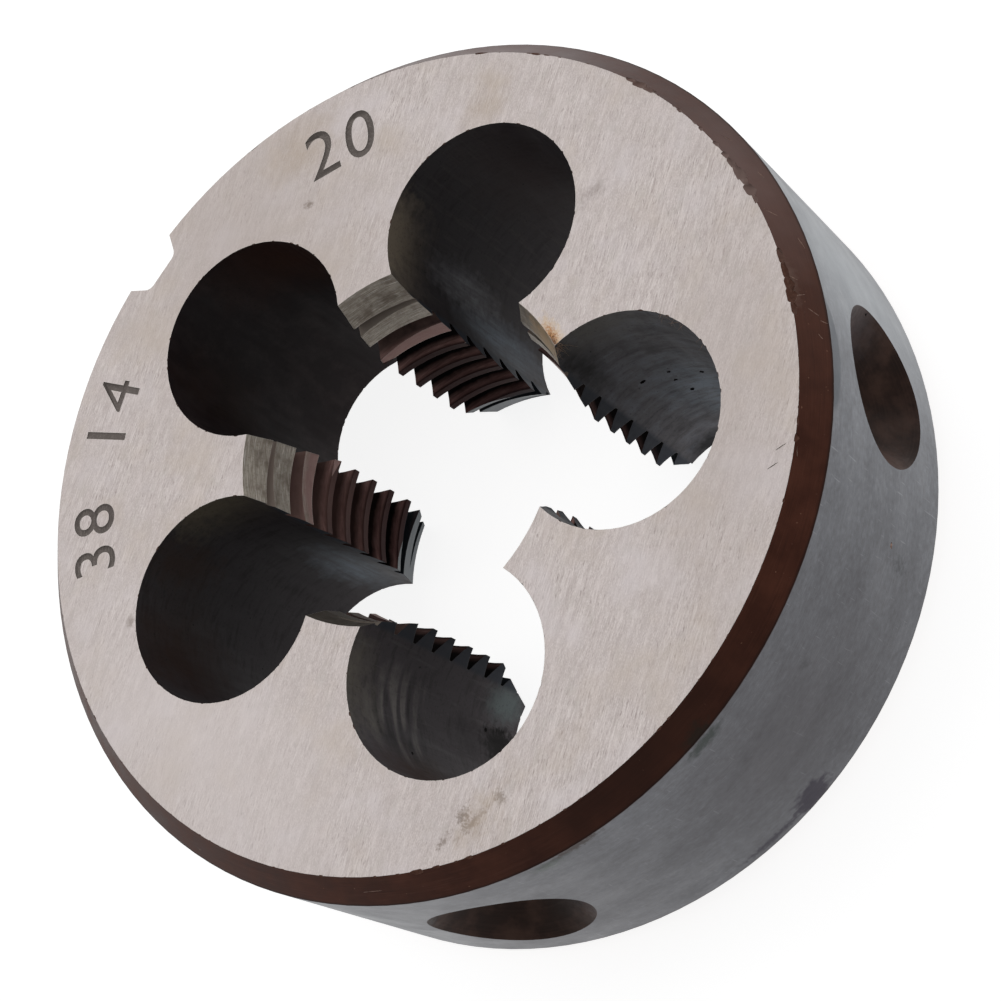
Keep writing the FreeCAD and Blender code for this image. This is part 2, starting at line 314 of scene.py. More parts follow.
def chamfer_oxide():
    """Reddish dark brown hardening scale on both chamfers, with a few paler rubs, a painted highlight about
    72 degrees round and painted shade about 302 degrees round.
    """
    g = Graph("chamfer_oxide", tone(62, 31, 20))
    turned = g.noise(g.stretch(2.2, 2.2, 0.05), 2.0, 0.6)
    cloud = g.noise(g.stretch(1.8, 1.8, 1.8), 3.0, 0.6)
    speck = g.noise(g.stretch(0.16, 0.16, 0.16, 0.0, (4.0, 4.0, 0.0)), 1.0, 0.5)
    g.paint(g.ramp(cloud, 0.4, 0.65), tone(84, 47, 34), 0.7)
    g.paint(g.ramp(turned, 0.55, 0.75), tone(92, 58, 46), 0.3)
    g.paint(g.ramp(turned, 0.45, 0.25), tone(40, 20, 14), 0.4)
    g.paint(g.ramp(speck, 0.76, 0.82), tone(142, 104, 86), 0.5)
    g.stain([
        # Painted highlight about 72 degrees round and painted shade about 302 degrees round, for how the
        # light falls on the chamfer; the other rows are paler and greyer patches, a dark stain and a paler
        # rub.
        (around(18.3, 72.0, FACE_MM), (8.0, 11.0, 3.0), 72.0, 0.1, 0.9, 0.4, tone(132, 116, 114), 0.75),
        (around(18.4, 15.0, FACE_MM), (5.0, 9.0, 3.0), 15.0, 0.2, 0.9, 1.5, tone(88, 54, 42), 0.6),
        (around(18.4, 27.0, FACE_MM), (3.0, 7.5, 3.0), 27.0, 0.2, 0.9, 1.5, tone(128, 108, 104), 0.5),
        (around(18.6, 302.0, FACE_MM), (3.0, 11.0, 3.0), 302.0, 0.2, 0.9, 1.5, tone(40, 20, 13), 0.8),
        (around(18.9, 308.5, 12.95), (0.8, 0.9, 0.4), 308.5, 0.8, 0.7, 0.3, tone(38, 32, 26), 0.8),
        (around(18.15, 6.5, 13.85), (0.4, 1.4, 0.35), 6.5, 0.8, 0.9, 0.3, tone(112, 88, 78), 0.6),
    ])
    g.paint(g.ramp(g.from_middle(), 5.95, 5.87), tone(26, 14, 12), 0.7)
    return g.finish(g.ramp(cloud, 0.3, 0.7, 0.4, 0.52), turned, 0.004, 0.0, 0.1)


def ground_rim():
    """Ground rim: satin bluish grey, with a strip that the grinding missed, some stains, a painted
    highlight about 14 degrees round and painted shade from 270 to 313 degrees round.
    """
    g = Graph("ground_rim", tone(101, 103, 108))
    fine = g.noise(g.stretch(1.0, 1.0, 0.05), 2.0, 0.6)
    cloud = g.noise(g.stretch(2.6, 2.6, 1.9), 3.0, 0.6)
    mottle = g.noise(g.stretch(0.3, 0.3, 0.26, 0.0, (6.0, 1.0, 0.0)), 3.0, 0.65)
    rub = g.noise(g.stretch(0.1, 0.1, 1.2, 0.0, (3.0, 7.0, 0.0)), 1.0, 0.5)
    g.paint(g.ramp(fine, 0.5, 0.7), tone(128, 130, 134), 0.4)
    g.paint(g.ramp(cloud, 0.45, 0.7), tone(96, 96, 99), 0.4)
    g.paint(g.ramp(mottle, 0.5, 0.7), tone(80, 78, 81), 0.5)
    g.paint(g.ramp(mottle, 0.46, 0.3), tone(126, 128, 134), 0.45)
    g.paint(g.ramp(rub, 0.71, 0.78), tone(164, 166, 170), 0.35)
    painted_rim_shade = tone(62, 59, 62)
    # Painted highlight about 14 degrees round, and painted shade about 313 and 270 degrees round, for how
    # the light falls round the rim.
    g.stain([
        (around(RIM_MM, 14.0, MIDDLE_MM), (4.0, 6.0, 14.0), 11.0, 0.05, 0.9, 0.4, tone(164, 168, 172), 0.6),
        (around(RIM_MM, 313.0, MIDDLE_MM), (9.0, 15.0, 14.0), 313.0, 0.05, 0.9, 0.4, painted_rim_shade, 0.75),
        (around(RIM_MM, 270.0, MIDDLE_MM), (9.0, 9.0, 14.0), 270.0, 0.05, 0.9, 0.4, tone(84, 82, 84), 0.6),
    ])
    stain_rim(g)
    g.paint(g.ramp(g.from_middle(), 5.78, 5.84), tone(58, 46, 42), 0.6)
    return g.finish(g.ramp(cloud, 0.3, 0.7, 0.38, 0.5), fine, 0.003, 1.0)


def stain_rim(g):
    """The strip beside the chamfer that the grinding missed, smudges and a purple drip."""
    dark_green = tone(40, 46, 44)
    purple = tone(36, 30, 44)
    g.stain([
        (around(RIM_MM, 357.3, 12.85), (1.5, 2.5, 0.85), 357.3, 0.15, 0.15, 0.4, tone(78, 82, 88), 0.85),
        (around(RIM_MM, 308.5, 12.35), (1.0, 1.2, 0.55), 308.5, 0.8, 0.7, 0.3, dark_green, 0.95),
        (around(RIM_MM, 284.5, 12.3), (1.0, 0.8, 0.5), 284.5, 1.0, 0.9, 0.16, tone(70, 80, 70), 0.6),
        (around(RIM_MM, 285.5, 12.5), (1.0, 1.4, 0.3), 285.5, 0.9, 0.8, 0.25, dark_green, 0.6),
        (around(RIM_MM, 289.0, 12.7), (1.0, 1.3, 0.32), 289.0, 1.0, 0.6, 0.16, tone(44, 32, 28), 0.9),
        (around(RIM_MM, 308.7, 1.9), (1.0, 1.15, 1.25), 308.7, 0.6, 0.4, 0.4, purple, 1.0),
        (around(RIM_MM, 301.5, 1.7), (1.0, 2.4, 0.34), 301.5, 0.9, 0.7, 0.2, purple, 0.85),
        (around(RIM_MM, 338.8, 4.5), (1.0, 0.5, 0.8), 338.8, 1.2, 0.9, 0.2, tone(56, 57, 60), 0.7),
        (around(RIM_MM, 322.0, 9.2), (1.0, 0.3, 0.5), 322.0, 1.2, 0.9, 0.2, tone(60, 60, 62), 0.6),
    ])


def notch_oxide():
    """Milled notch, dark from hardening."""
    g = Graph("notch_oxide", tone(56, 42, 38))
    milled = g.noise(g.stretch(0.12, 0.12, 2.5), 2.0, 0.6)
    g.paint(g.ramp(milled, 0.35, 0.65), tone(78, 62, 56))
    return g.finish(g.ramp(milled, 0.3, 0.7, 0.4, 0.55), milled, 0.01, 0.0, 0.3)


def dimple_oxide():
    """Screw seats: dark brown, greyer and paler towards their ends, with painted shade deepening towards
    their apex and a painted highlight along their edges.
    """
    g = Graph("dimple_oxide", tone(42, 28, 23))
    cloud = g.noise(g.stretch(1.3, 1.3, 1.3), 3.0, 0.6)
    turned = g.noise(g.stretch(0.25, 0.25, 0.25), 2.0, 0.6)
    rings = g.noise(g.times(g.axis_distance(), 9.0), 2.0, 0.6)
    g.paint(g.ramp(cloud, 0.45, 0.68), tone(74, 54, 46), 0.7)
    g.paint(g.ramp(cloud, 0.45, 0.3), tone(26, 18, 16), 0.5)
    g.paint(g.ramp(rings, 0.45, 0.65), tone(72, 54, 47), 0.15)
    g.stain([
        (around(17.5, 350.0, 6.0), (3.0, 1.8, 3.0), 350.0, 0.3, 0.9, 0.4, tone(104, 80, 72), 0.8),
        (around(17.5, 9.0, 8.0), (3.0, 1.6, 3.0), 9.0, 0.3, 0.9, 0.4, tone(84, 74, 76), 0.7),
        (around(17.5, 279.0, 6.75), (3.0, 1.5, 3.0), 279.0, 0.3, 0.9, 0.4, tone(74, 62, 68), 0.7),
    ])
    # Painted shade, darker deeper into the seats towards their apex.
    g.paint(g.ramp(g.axis_distance(), 17.6, 15.4), tone(20, 13, 11), 0.75)
    # Painted highlight along the edges of the seats.
    g.paint(g.edge(0.05), tone(110, 92, 84), 0.4)
    return g.finish(g.ramp(turned, 0.3, 0.7, 0.4, 0.54), rings, 0.004, 0.0, 0.08)


def in_hole(g, direction):
    """1 on the wall of one clearance hole and 0 on the others."""
    reach = 1.15 * HOLE_MM
    return g.spot(around(HOLE_CIRCLE_MM, direction), (reach, reach, 10.0 * FACE_MM), 0.0, 0.0, 0.05)


def hole_oxide():
    """Clearance holes: near black scale with brushed smears, rings from the drill and pits, painted sheens
    on the walls and a painted highlight along the edges.
    """
    g = Graph("hole_oxide", tone(34, 27, 28))
    brushed = g.noise(g.stretch(0.3, 0.3, 3.0, 0.0, (2.0, 5.0, 0.0)), 3.0, 0.6)
    smear = g.noise(g.stretch(1.3, 1.3, 0.36, 0.0, (3.0, 6.0, 0.0)), 3.0, 0.6)
    cloud = g.noise(g.stretch(1.2, 1.2, 2.0, 0.0, (8.0, 1.0, 0.0)), 3.0, 0.6)
    grit = g.noise(g.stretch(0.12, 0.12, 0.12, 0.0, (5.0, 5.0, 0.0)), 2.0, 0.6)
    pits = g.noise(g.stretch(0.2, 0.2, 0.2, 0.0, (1.0, 3.0, 0.0)), 1.0, 0.5)
    g.paint(g.ramp(cloud, 0.46, 0.7), tone(52, 44, 44), 0.7)
    g.paint(g.spot((-6.6, 11.8, 12.0), (5.0, 2.8, 4.0), 0.0, 0.3, 0.9, 1.0), tone(58, 38, 31), 0.85)
    in_top = in_hole(g, TOP_HOLE)
    g.paint(in_top, tone(60, 56, 58), 0.9)
    g.paint(g.times(in_top, g.ramp(smear, 0.5, 0.34)), tone(40, 34, 36), 0.5)
    g.paint(g.times(in_top, g.ramp(brushed, 0.5, 0.74)), tone(92, 88, 86), 0.35)
    g.paint(g.spot((4.6, 13.6, 9.0), (3.4, 2.0, 7.0), 0.0, 0.3, 0.9, 1.0), tone(56, 44, 44), 0.8)
    in_low_left = in_hole(g, LOW_LEFT_HOLE)
    g.paint(in_low_left, tone(60, 56, 58), 0.9)
    g.paint(g.times(in_low_left, g.ramp(smear, 0.5, 0.34)), tone(34, 29, 29), 0.5)
    g.paint(g.times(in_low_left, g.ramp(cloud, 0.5, 0.7)), tone(62, 58, 60), 0.6)
    in_right = in_hole(g, RIGHT_HOLE)
    g.paint(in_right, tone(106, 104, 107), 0.95)
    g.paint(g.times(in_right, g.ramp(smear, 0.5, 0.34)), tone(50, 48, 50), 0.4)
    g.paint(g.times(in_right, g.ramp(smear, 0.55, 0.75)), tone(136, 140, 150), 0.35)
    g.paint(g.times(in_right, g.ramp(cloud, 0.52, 0.7)), tone(122, 124, 132), 0.5)
    g.paint(g.times(in_right, g.ramp(cloud, 0.48, 0.32)), tone(60, 56, 57), 0.5)
    in_bottom = in_hole(g, BOTTOM_HOLE)
    g.paint(in_bottom, tone(83, 77, 80), 0.95)
    g.paint(g.times(in_bottom, g.ramp(smear, 0.5, 0.34)), tone(50, 45, 46), 0.5)
    g.paint(g.times(in_bottom, g.ramp(brushed, 0.56, 0.74)), tone(110, 108, 108), 0.5)
    stains_and_sheens_in_holes(g, brushed, smear)
    g.paint(g.ramp(grit, 0.55, 0.72), tone(20, 17, 17), 0.3)
    g.paint(g.ramp(pits, 0.76, 0.8), tone(12, 10, 10), 0.7)
    g.paint(g.ramp(g.axis_distance(), 7.62, 7.4), tone(52, 58, 68), 0.8)
    # Painted highlight along the edges of the holes.
    g.paint(g.edge(0.04), tone(150, 144, 138), 0.4)
    return g.finish(g.ramp(brushed, 0.3, 0.7, 0.4, 0.56), smear, 0.006, 0.0, 0.05)


def stains_and_sheens_in_holes(g, brushed, smear):
    """Painted sheens on the walls, mostly low, chatter rings, dark and brown patches, and brown and olive
    bands.
    """
    streaked = g.ramp(brushed, 0.3, 0.6, 0.3, 1.0)
    steel = tone(134, 146, 158)
    # Painted sheens, bluish and grey, on the walls of the top hole and the low left hole.
    bare = [
        ((0.1, 8.6, 4.2), (1.0, 1.5, 5.0), 0.4, steel, 0.6),
        ((0.3, 10.0, 7.5), (1.0, 1.2, 4.0), 0.5, tone(124, 124, 128), 0.9),
        ((-9.0, 0.0, 3.4), (1.7, 1.0, 4.0), 0.4, tone(122, 132, 142), 0.8),
    ]
    for centre, size, ragged, colour, share in bare:
        g.paint(g.times(g.spot(centre, size, 0.0, ragged, 0.9, 0.6), streaked), colour, share)
    # Painted sheen on the wall of the right hole.
    painted_sheen_right = g.spot((10.6, 3.0, 5.5), (2.6, 1.0, 4.6), 0.0, 0.4, 0.9, 0.6)
    g.paint(g.times(g.ramp(smear, 0.3, 0.6, 0.3, 1.0), painted_sheen_right), steel, 0.75)
    g.stain([
        ((7.7, 2.3, 11.6), (1.1, 0.8, 3.4), 0.0, 0.5, 0.9, 0.5, tone(26, 20, 17), 0.85),
        ((11.0, 2.9, 12.0), (0.9, 0.8, 0.9), 0.0, 0.9, 0.9, 0.3, tone(44, 42, 43), 0.6),
        # Painted sheen, bluish grey, low on the wall of the bottom hole.
        ((-2.3, -7.8, 1.6), (1.0, 1.3, 2.0), 0.0, 0.4, 0.7, 0.4, tone(112, 124, 124), 0.75),
        ((-2.95, -9.7, 1.4), (1.0, 1.1, 1.9), 0.0, 0.7, 0.5, 0.3, tone(12, 6, 5), 1.0),
        ((-2.9, -9.8, 4.0), (1.0, 1.4, 2.4), 0.0, 0.6, 0.9, 0.5, tone(44, 38, 40), 0.65),
        ((8.3, 2.6, 0.4), (2.2, 1.0, 1.3), 0.0, 0.5, 0.9, 0.5, tone(24, 24, 27), 0.9),
        ((-1.9, -13.2, 9.5), (2.2, 2.0, 5.0), 0.0, 0.4, 0.8, 0.6, tone(66, 47, 41), 0.95),
        ((-13.6, -5.5, 11.0), (2.0, 3.6, 5.0), 0.0, 0.4, 0.9, 0.8, tone(54, 39, 34), 0.9),
        ((-12.6, -1.6, 12.0), (1.6, 1.6, 3.2), 0.0, 0.6, 0.8, 0.5, tone(62, 48, 42), 0.8),
        ((-13.6, 7.0, 10.0), (3.0, 3.4, 6.0), 0.0, 0.4, 0.9, 0.8, tone(50, 34, 28), 0.8),
        ((-2.9, -10.6, 12.1), (1.0, 1.6, 1.0), 0.0, 0.5, 0.9, 0.4, tone(124, 119, 112), 0.7),
    ])
    ringed = g.spot((-2.75, -10.4, 10.3), (1.5, 2.6, 2.8), 0.0, 0.4, 0.7, 0.6)
    rings = g.noise(g.stretch(4.0, 4.0, 0.6, 0.0, (2.0, 2.0, 0.1)), 1.0, 0.5)
    g.paint(g.times(ringed, g.ramp(rings, 0.5, 0.6)), tone(148, 143, 138), 0.7)
    g.paint(g.times(ringed, g.ramp(rings, 0.46, 0.38)), tone(36, 32, 33), 0.8)
    near_face = g.ramp(g.height(), 10.0, 13.4)
    bands = [
        ((0.2, 10.0, FACE_MM), (1.4, 3.2, 4.5), tone(136, 124, 108), 0.8),
        ((-2.6, -9.6, FACE_MM), (0.8, 2.6, 3.0), tone(120, 114, 104), 0.8),
        ((9.4, 2.8, FACE_MM), (2.4, 1.0, 3.5), tone(110, 106, 100), 0.8),
        ((-9.6, -0.4, FACE_MM), (3.0, 1.2, 4.5), tone(104, 96, 82), 0.9),
    ]
    for centre, size, colour, share in bands:
        g.paint(g.times(near_face, g.spot(centre, size)), colour, share)


def throat_ground():
    """Countersink and throat: ground bare, scratched along the cut, oxidised further down, with painted
    shade on the land at 243 degrees round and a painted highlight along the edges.
    """
    g = Graph("throat_ground", tone(174, 165, 153))
    fine = g.noise(g.stretch(0.9, 0.9, 0.04), 2.0, 0.7)
    scratch = g.noise(g.stretch(1.1, 1.1, 0.035, 0.0, (5.0, 2.0, 0.3)), 2.0, 0.7)
    grit = g.noise(g.stretch(0.1, 0.1, 0.1, 0.0, (5.0, 2.0, 0.0)), 2.0, 0.7)
    cloud = g.noise(g.stretch(0.7, 0.7, 0.7), 2.0, 0.6)
    g.paint(g.ramp(fine, 0.5, 0.3), tone(140, 130, 120), 0.8)
    g.paint(g.ramp(fine, 0.5, 0.7), tone(214, 206, 196), 0.7)
    g.paint(g.ramp(grit, 0.5, 0.3), tone(136, 126, 114), 0.6)
    g.paint(g.ramp(cloud, 0.48, 0.66), tone(122, 110, 98), 0.7)
    g.paint(g.ramp(scratch, 0.58, 0.72), tone(246, 242, 236), 0.7)
    height = g.sum("ADD", g.height(), g.times(cloud, 1.2))
    g.paint(g.ramp(height, 11.7, 11.1), tone(150, 116, 112), 0.85)
    g.stain([
        (around(7.6, 24.0, 13.4), (1.6, 1.6, 1.4), 0.0, 0.8, 0.7, 0.4, tone(226, 190, 140), 0.6),
        # Painted shade on the throat of the land at 243 degrees round.
        (around(7.9, 243.0, 12.8), (4.4, 4.4, 4.0), 0.0, 0.3, 0.4, 0.4, tone(36, 30, 22), 0.78),
    ])
    # Painted highlight along the edges.
    g.paint(g.edge(0.03), tone(240, 234, 226), 0.6)
    return g.finish(0.45, fine, 0.008, 0.7)


def thread_oxide():
    """Teeth: reddish brown flanks with painted shadow black in the roots, ground bare where the throat
    begins, and painted shade on the teeth of the lands at 27, 99 and 243 degrees round.
    """
    g = Graph("thread_oxide", tone(134, 102, 97))
    fine = g.noise(g.stretch(0.8, 0.8, 0.05), 2.0, 0.7)
    wander = g.noise(g.stretch(0.5, 0.5, 0.5, 0.0, (3.0, 2.0, 0.0)), 2.0, 0.6)
    g.paint(g.ramp(fine, 0.45, 0.7), tone(170, 138, 132), 0.7)
    g.paint(g.ramp(fine, 0.45, 0.25), tone(84, 58, 56), 0.6)
    g.paint(g.ramp(g.height(), 9.0, 2.5), tone(88, 56, 58), 0.45)
    g.paint(g.ramp(g.axis_distance(), 6.80, 6.71), tone(46, 26, 26), 0.9)
    # Painted shadow: black in the roots, from a little below the crests outwards.
    reach = g.sum("ADD", g.axis_distance(), g.times(wander, 0.16))
    g.paint(g.ramp(reach, 6.94, 7.16), tone(12, 8, 8))
    pale = g.sum("ADD", g.height(), g.times(wander, 0.8))
    g.paint(g.ramp(pale, 10.6, 11.4), tone(128, 104, 98), 0.8)
    g.paint(g.ramp(pale, 12.0, 12.4), tone(150, 140, 130), 0.9)
    g.paint(g.spot(around(7.2, 171.0, 9.5), (3.2, 3.2, 5.5), 0.0, 0.1, 0.8), tone(124, 96, 90), 0.5)
    # Painted shade on the teeth of the lands at 27, 99 and 243 degrees round, for how the light falls on
    # them.
    painted_tooth_shade = tone(12, 8, 8)
    for direction, share in ((27.0, 0.75), (99.0, 0.2), (243.0, 0.75)):
        g.paint(g.spot(around(7.2, direction, 7.0), (3.6, 3.6, 8.5), 0.0, 0.1, 0.4), painted_tooth_shade, share)
    g.paint(g.ramp(g.height(), 3.0, 2.2), tone(40, 46, 51), 0.8)
    return g.finish(0.5, fine, 0.008, 0.0, 0.03)


def exit_oxide():
    """Cone at the back face: steel grey."""
    g = Graph("exit_oxide", tone(44, 51, 56))
    fine = g.noise(g.stretch(0.9, 0.9, 0.08), 2.0, 0.6)
    g.paint(g.ramp(fine, 0.4, 0.7), tone(64, 72, 78))
    return g.finish(0.45, fine, 0.006, 0.2, 0.2)


def etched_mark():
    """Floor and walls of the etched numbers: dull grey brown."""
    g = Graph("etched_mark", tone(128, 119, 114))
    grit = g.noise(g.stretch(0.07, 0.07, 0.07), 2.0, 0.6)
    cloud = g.noise(g.stretch(0.8, 0.8, 0.8), 2.0, 0.6)
    g.paint(g.ramp(grit, 0.5, 0.7), tone(160, 151, 146), 0.7)
    g.paint(g.ramp(cloud, 0.5, 0.7), tone(112, 103, 98), 0.5)
    return g.finish(0.8, grit, 0.01, 0.0, 0.2)


def chipped_steel():
    """Chips of the edges: scaled over like the chamfer, with a painted highlight along their edges."""
    g = Graph("chipped_steel", tone(88, 57, 45))
    grit = g.noise(g.stretch(0.12, 0.12, 0.12), 2.0, 0.6)
    g.paint(g.ramp(grit, 0.52, 0.7), tone(116, 84, 70), 0.4)
    g.paint(g.ramp(grit, 0.45, 0.3), tone(60, 36, 27), 0.5)
    greyed = g.spot(around(18.1, 32.0, FACE_MM), (3.0, 8.5, 3.0), 32.0, 0.2, 0.7, 1.5)
    g.paint(greyed, tone(138, 118, 112), 0.75)
    # Painted highlight along the edges of the chips.
    g.paint(g.edge(0.025), tone(206, 192, 180), 0.4)
    return g.finish(0.48, grit, 0.006, 0.0, 0.15)


def scratched_steel():
    """Fine scratches and a dent: bare bright steel."""
    g = Graph("scratched_steel", tone(150, 122, 108))
    grit = g.noise(g.stretch(0.1, 0.1, 0.1), 2.0, 0.6)
    g.paint(g.ramp(grit, 0.45, 0.6), tone(92, 66, 55), 0.8)
    return g.finish(0.5, grit, 0.005, 0.3, 0.4)


def raised_burr():
    """Hair fine burrs that hang from the edges of the holes."""
    g = Graph("raised_burr", tone(186, 160, 140))
    grit = g.noise(g.stretch(0.06, 0.06, 0.06), 1.0, 0.5)
    g.paint(g.ramp(grit, 0.45, 0.7), tone(128, 92, 66), 0.8)
    return g.finish(0.45, grit, 0.002, 0.5)


def pitted_oxide():
    """Inside of the pits in the dark walls."""
    g = Graph("pitted_oxide", tone(26, 23, 24))
    grit = g.noise(g.stretch(0.08, 0.08, 0.08), 2.0, 0.6)
    g.paint(g.ramp(grit, 0.5, 0.7), tone(34, 28, 26))
    return g.finish(0.6, grit, 0.01, 0.0, 0.2)


REGIONS = {
    "face": ground_face,
    "chamfer": chamfer_oxide,
    "rim": ground_rim,
    "notch": notch_oxide,
    "dimple": dimple_oxide,
    "hole": hole_oxide,
    "throat": throat_ground,
    "thread": thread_oxide,
    "exit": exit_oxide,
    "mark": etched_mark,
    "chip": chipped_steel,
    "scratch": scratched_steel,
    "pit": pitted_oxide,
    "burr": raised_burr,
}
NAMES = list(REGIONS)

# How far a facet may lie beside a surface, and lean from it, and still belong to it
SLACK = 0.05 * MM
UPRIGHT = 0.02

# Between which limits the normals of the throat and of the exit cone rise
THROAT_RISE = (0.15, 0.45)
EXIT_RISE = (-0.4, -0.28)


def nearest(directions, point):
    """The one of the directions that points closest to a point."""
    return max(directions, key=lambda direction: around(1.0, direction).dot(point))


def region_of(centre, normal):
    """Name of the surface that a facet of the die belongs to."""
    flat = Vector((centre.x, centre.y, 0.0))
    radius = flat.length
    outward = normal.dot(flat.normalized())
    on_wall = abs(normal.z) < UPRIGHT
    end = min(centre.z, TOP - centre.z)
    hole = around(HOLE_CIRCLE_RADIUS, nearest(HOLE_DIRECTIONS, flat))
    if abs(normal.z) > 1.0 - UPRIGHT and end < SLACK:
        return "face"
    if on_wall and radius > RIM_RADIUS - SLACK and outward > 1.0 - UPRIGHT:
        return "rim"
    if radius > FACE_EDGE_RADIUS - SLACK and end < CHAMFER_HEIGHT and not on_wall:
        return "chamfer"
    if on_wall and abs((flat - hole).length - HOLE_RADIUS) < SLACK:
        return "hole"
    beside_notch = abs(flat.dot(around(1.0, NOTCH_DIRECTION + 90.0)))
    if radius > DIMPLE_INNER_RADIUS and beside_notch < NOTCH_HALF_WIDTH:
        return "notch"
    if radius > DIMPLE_INNER_RADIUS:
        return "dimple"
    if THROAT_RISE[0] < normal.z < THROAT_RISE[1] and centre.z > THROAT_FOOT:
        return "throat"
    if EXIT_RISE[0] < normal.z < EXIT_RISE[1] and centre.z < EXIT_TOP:
        return "exit"
    return "thread"


def level_part(normal_z):
    """Length of the level part of a normal, from its upright part."""
    return math.sqrt(max(0.0, 1.0 - normal_z * normal_z))


def true_normal(name, point, normal):
    """Exact normal of a surface at a point, or None where the facets' own will do."""
    flat = Vector((point.x, point.y, 0.0))
    if name == "face":
        return Vector((0.0, 0.0, math.copysign(1.0, normal.z)))
    if name == "rim":
        return flat.normalized()
    if name == "chamfer":
        lean = math.radians(CHAMFER_LEAN)
        rise = math.copysign(math.sin(lean), normal.z)
        return flat.normalized() * math.cos(lean) + Vector((0.0, 0.0, rise))
    if name == "hole":
        return (around(HOLE_CIRCLE_RADIUS, nearest(HOLE_DIRECTIONS, flat)) - flat).normalized()
    if name == "dimple":
        axis = around(1.0, nearest(DIMPLE_DIRECTIONS, flat))
        offset = point - Vector((0.0, 0.0, DIMPLE_HEIGHT))
        return (axis - (offset - axis * offset.dot(axis)).normalized()).normalized()
    if name in ("throat", "exit", "thread"):
        relief = {"throat": THROAT_RELIEF, "exit": EXIT_RELIEF, "thread": 0.0}[name]
        land = math.radians(nearest(LAND_DIRECTIONS, flat))
        radial = (flat - relief * Vector((math.sin(land), -math.cos(land), 0.0))).normalized()
        return Vector((0.0, 0.0, normal.z)) - radial * level_part(normal.z)
    return None


def welded_die():
    """The die's facets joined into one closed skin, each with its surface's material."""
    skin = bmesh.new()
    skin.from_mesh(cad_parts[NODE].data)
    bmesh.ops.remove_doubles(skin, verts=skin.verts, dist=WELD)
    for facet in skin.faces:
        facet.material_index = NAMES.index(region_of(facet.calc_center_median(), facet.normal))
    mesh = bpy.data.meshes.new("dressed_die")
    skin.to_mesh(mesh)
    skin.free()
    return mesh


def add_pebble(cutters, place, size, turn, name, dice, rough=0.25):
    """Rough closed lump to be cut away. size gives its half lengths along its own axes."""
    made = bmesh.ops.create_icosphere(cutters, subdivisions=1, radius=1.0)
    form = Matrix.Translation(place) @ turn.to_4x4() @ Matrix.Diagonal((*size, 1.0))
    for vertex in made["verts"]:
        vertex.co = form @ (vertex.co * dice.uniform(1.0 - rough, 1.0 + rough))
    for facet in {facet for vertex in made["verts"] for facet in vertex.link_faces}:
        facet.material_index = NAMES.index(name)


def facing(direction, lean=0.0, twist=0.0):
    """Axes of a spot on the outside: X out of the surface, which leans up, twisted about X."""
    level = Matrix.Rotation(math.radians(direction), 3, "Z")
    raised = Matrix.Rotation(math.radians(-lean), 3, "Y")
    return level @ raised @ Matrix.Rotation(math.radians(twist), 3, "X")


# Large chips out of the front edge: direction, depth and half length along the edge
EDGE_CHIPS = [
    (47.3, 0.12 * MM, 0.35 * MM),
    (45.8, 0.24 * MM, 0.50 * MM),
    (44.2, 0.14 * MM, 0.45 * MM),
    (38.0, 0.09 * MM, 0.20 * MM),
    (33.4, 0.10 * MM, 0.18 * MM),
    (30.0, 0.09 * MM, 0.25 * MM),
    (27.6, 0.14 * MM, 0.30 * MM),
    (26.2, 0.17 * MM, 0.40 * MM),
    (24.4, 0.25 * MM, 0.45 * MM),
    (22.8, 0.18 * MM, 0.40 * MM),
    (21.2, 0.30 * MM, 0.38 * MM),
    (19.6, 0.11 * MM, 0.35 * MM),
    (10.2, 0.12 * MM, 0.40 * MM),
    (8.2, 0.16 * MM, 0.45 * MM),
    (6.2, 0.26 * MM, 0.40 * MM),
    (4.7, 0.22 * MM, 0.45 * MM),
    (2.9, 0.14 * MM, 0.40 * MM),
    (345.6, 0.10 * MM, 0.20 * MM),
    (277.0, 0.07 * MM, 0.20 * MM),
    (272.4, 0.08 * MM, 0.20 * MM),
    (269.4, 0.09 * MM, 0.35 * MM),
    (64.0, 0.09 * MM, 0.30 * MM),
    (73.0, 0.09 * MM, 0.40 * MM),
    (112.0, 0.10 * MM, 0.30 * MM),
]

# Fine chips all round each face
SMALL_CHIPS = 90
SMALL_CHIP_DEPTH = 0.05 * MM


def add_chips(cutters, dice):
    """Chips along the edges between the faces and their chamfers, large in front and fine all round."""
    def chip(direction, depth, half_length, height):
        size = (0.6 * depth, half_length, depth * dice.uniform(1.3, 1.7))
        place = around(FACE_EDGE_RADIUS, direction, height)
        lean = CHAMFER_LEAN if height == TOP else -CHAMFER_LEAN
        turn = facing(direction, lean, dice.uniform(-12.0, 12.0))
        add_pebble(cutters, place, size, turn, "chip", dice, 0.3)

    for direction, depth, half_length in EDGE_CHIPS:
        chip(direction, depth, half_length, TOP)
    for height in (TOP, 0.0):
        for i in range(SMALL_CHIPS):
            direction = 360.0 * (i + dice.random()) / SMALL_CHIPS
            depth = SMALL_CHIP_DEPTH * dice.uniform(0.4, 1.0)
            chip(direction, depth, depth * dice.uniform(1.5, 4.0), height)


# Nicks all round the edge of each clearance hole at both faces
NICKS = 26
NICK_DEPTH = 0.035 * MM


def add_nicks(cutters, dice):
    """Nicks along the edges of the clearance holes, apart from where they open into the bore."""
    for hole in HOLE_DIRECTIONS:
        for height in (TOP, 0.0):
            for i in range(NICKS):
                direction = 360.0 * (i + dice.random()) / NICKS
                centre = around(HOLE_CIRCLE_RADIUS, hole)
                place = centre + around(HOLE_RADIUS, direction, height)
                if Vector((place.x, place.y, 0.0)).length < BORE_MOUTH_RADIUS:
                    continue
                depth = NICK_DEPTH * dice.uniform(0.4, 1.4)
                size = (depth, depth * dice.uniform(1.5, 3.5), depth)
                add_pebble(cutters, place, size, facing(direction), "chip", dice, 0.35)


